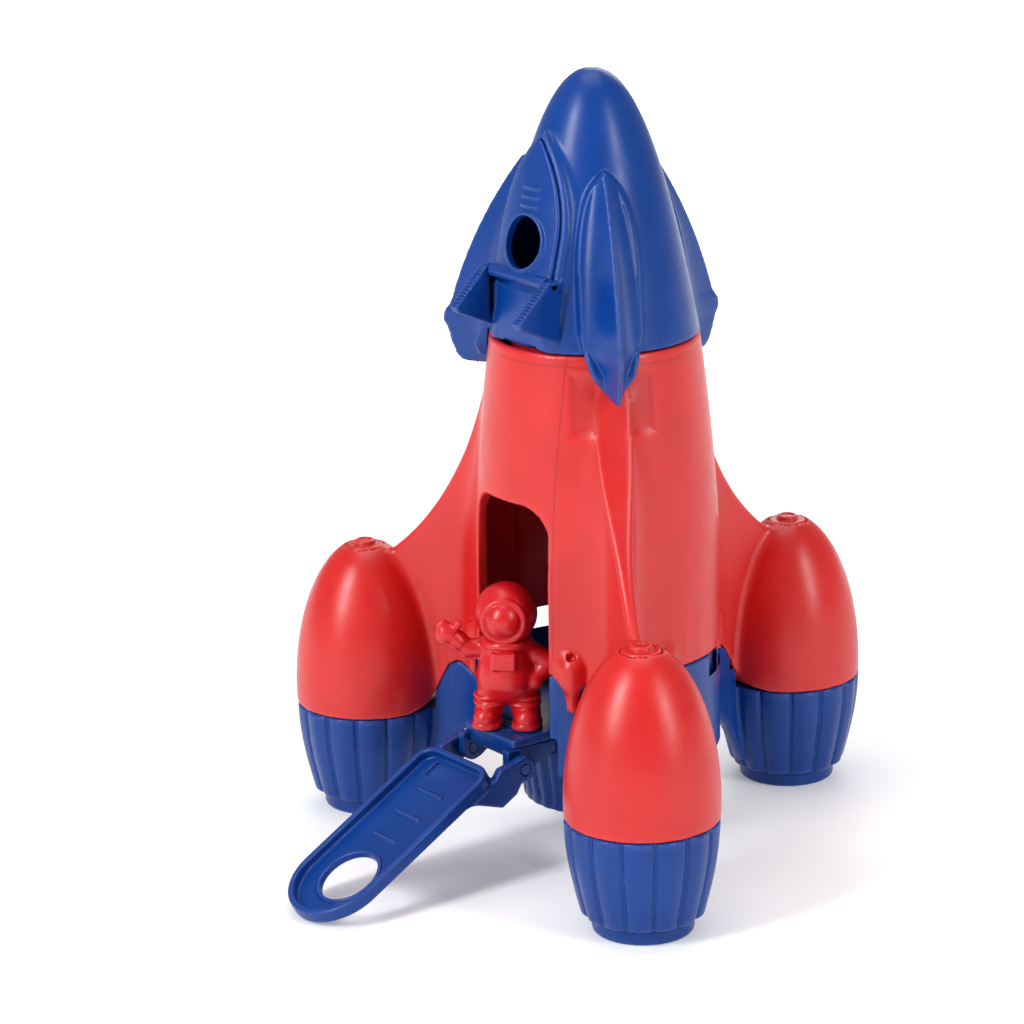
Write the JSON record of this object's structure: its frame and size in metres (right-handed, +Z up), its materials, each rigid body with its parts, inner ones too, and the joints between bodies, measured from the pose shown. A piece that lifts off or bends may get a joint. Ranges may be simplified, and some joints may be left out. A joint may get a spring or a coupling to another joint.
{
  "type": "toy space rocket",
  "caption": "Moulded plastic toy space rocket on booster pods, with a fold-down boarding ramp, a lift-off nose capsule with a hatch, and a crew figure.",
  "frame": {"origin": "on the rocket's axis, at the level of the floor that its three feet stand on", "axes": "+Z up along the rocket's axis, -Y out through the doorway"},
  "size_m": [0.2016, 0.2405, 0.2675],
  "materials": {
    "red_plastic": "satin moulded red plastic",
    "blue_plastic": "satin moulded blue plastic",
    "crew_plastic": "satin moulded red plastic"
  },
  "bodies": {
    "root": {"hull_lower": "red_plastic", "hull_upper": "red_plastic", "neck_plate": "red_plastic", "fin_right": "red_plastic", "fin_left": "red_plastic", "fin_back": "red_plastic", "pod_right": "red_plastic", "pod_left": "red_plastic", "pod_back": "red_plastic", "pod_cap_right": "red_plastic", "pod_cap_left": "red_plastic", "pod_cap_back": "red_plastic", "snap_bosses": "red_plastic", "cup_right": "blue_plastic", "cup_left": "blue_plastic", "cup_back": "blue_plastic", "strut_right": "blue_plastic", "strut_left": "blue_plastic", "strut_back": "blue_plastic", "base_ring": "blue_plastic", "engine_bell": "blue_plastic", "deck": "blue_plastic", "ramp_brackets": "blue_plastic", "ramp_pins": "blue_plastic"},
    "ramp": {"ramp_leaf": "blue_plastic", "ramp_arms": "blue_plastic"},
    "nose": {"nose_shell": "blue_plastic", "leg_right": "blue_plastic", "leg_left": "blue_plastic", "leg_back": "blue_plastic", "capsule_floor": "blue_plastic", "hatch_frame": "blue_plastic", "hatch_cheeks": "blue_plastic", "hatch_pin": "blue_plastic"},
    "hatch": {"hatch_panel": "blue_plastic", "hatch_knuckle": "blue_plastic", "window_rim": "blue_plastic"},
    "crew": {"crew_figure": "crew_plastic"}
  },
  "joints": [
    {"name": "ramp_hinge", "type": "hinge", "parent": "root", "child": "ramp", "pos_m": [0, -0.0462, 0.0384], "axis": [-1, 0, 0], "range_deg": [0, 118.9]},
    {"name": "crew_slide", "type": "slide", "parent": "root", "child": "crew", "axis": [0, 1, 0], "range_m": [0, 0.0272]},
    {"name": "nose_lift", "type": "slide", "parent": "root", "child": "nose", "axis": [0, 0, 1], "range_m": [0, 0.08]},
    {"name": "hatch_hinge", "type": "hinge", "parent": "nose", "child": "hatch", "pos_m": [0, -0.0315, 0.202], "axis": [1, 0, 0], "range_deg": [0, 145]}
  ],
  "couplings": [
    {"joint": "crew_slide", "follows": "ramp_hinge", "m_per_rad": 0.013011}
  ]
}
